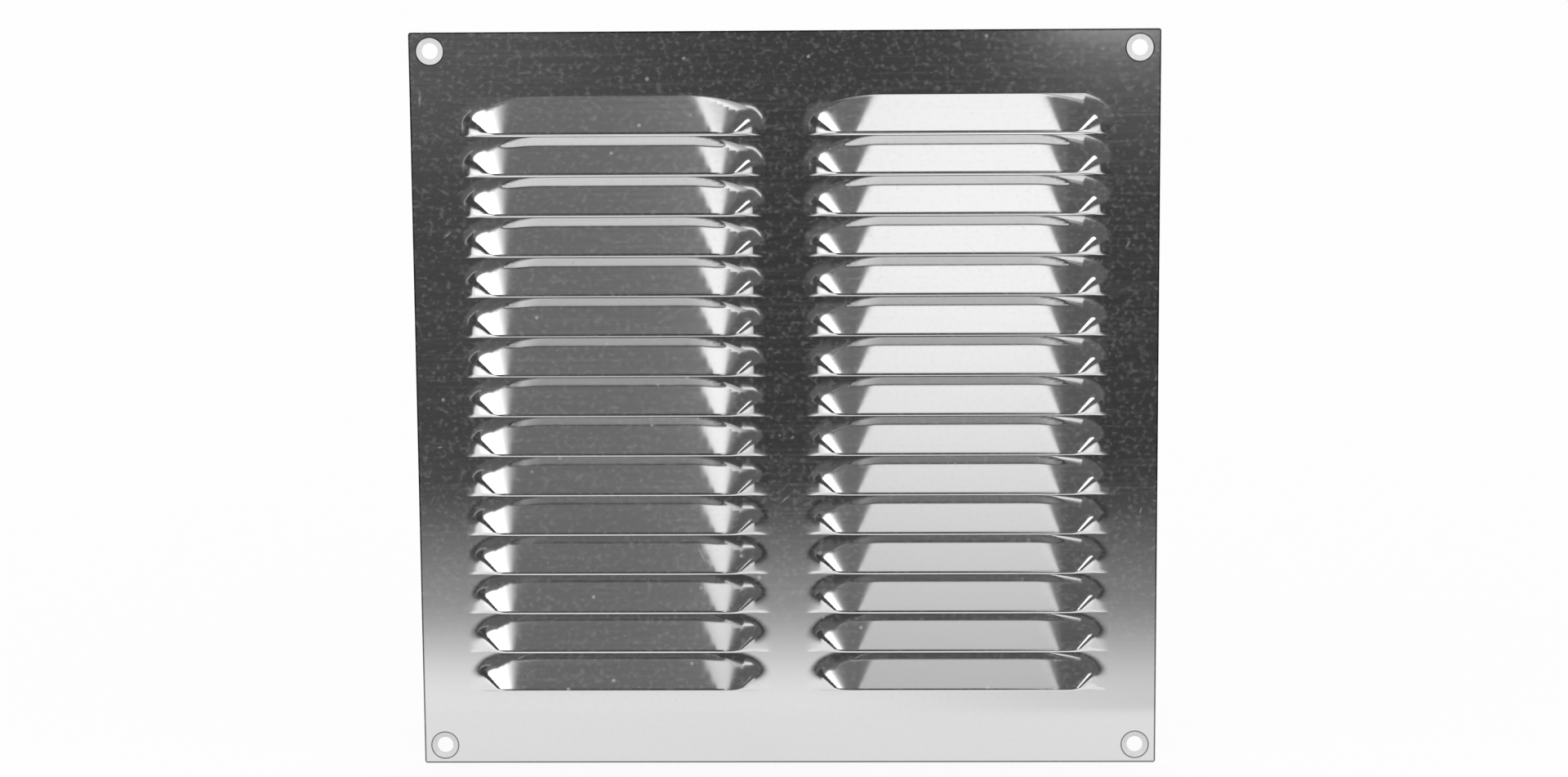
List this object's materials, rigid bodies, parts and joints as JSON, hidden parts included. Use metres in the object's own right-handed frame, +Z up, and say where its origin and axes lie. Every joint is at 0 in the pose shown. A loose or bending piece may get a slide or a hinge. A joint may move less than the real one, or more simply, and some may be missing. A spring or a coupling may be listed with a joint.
{
  "type": "ventilation grille",
  "caption": "Square wall grille pressed from one bright steel sheet, with columns of closed-end louvres open downwards and a countersunk screw hole in each corner.",
  "frame": {"origin": "middle of the back face, at the centre of the screw hole pattern", "axes": "+Z up the wall, +Y into the wall, +X to the right seen from the front"},
  "size_m": [0.2, 0.0059, 0.2],
  "materials": {
    "steel": "bright satin sheet with fine horizontal brush lines and light scratches"
  },
  "bodies": {
    "root": {"louvre_plate": "steel"}
  },
  "joints": []
}
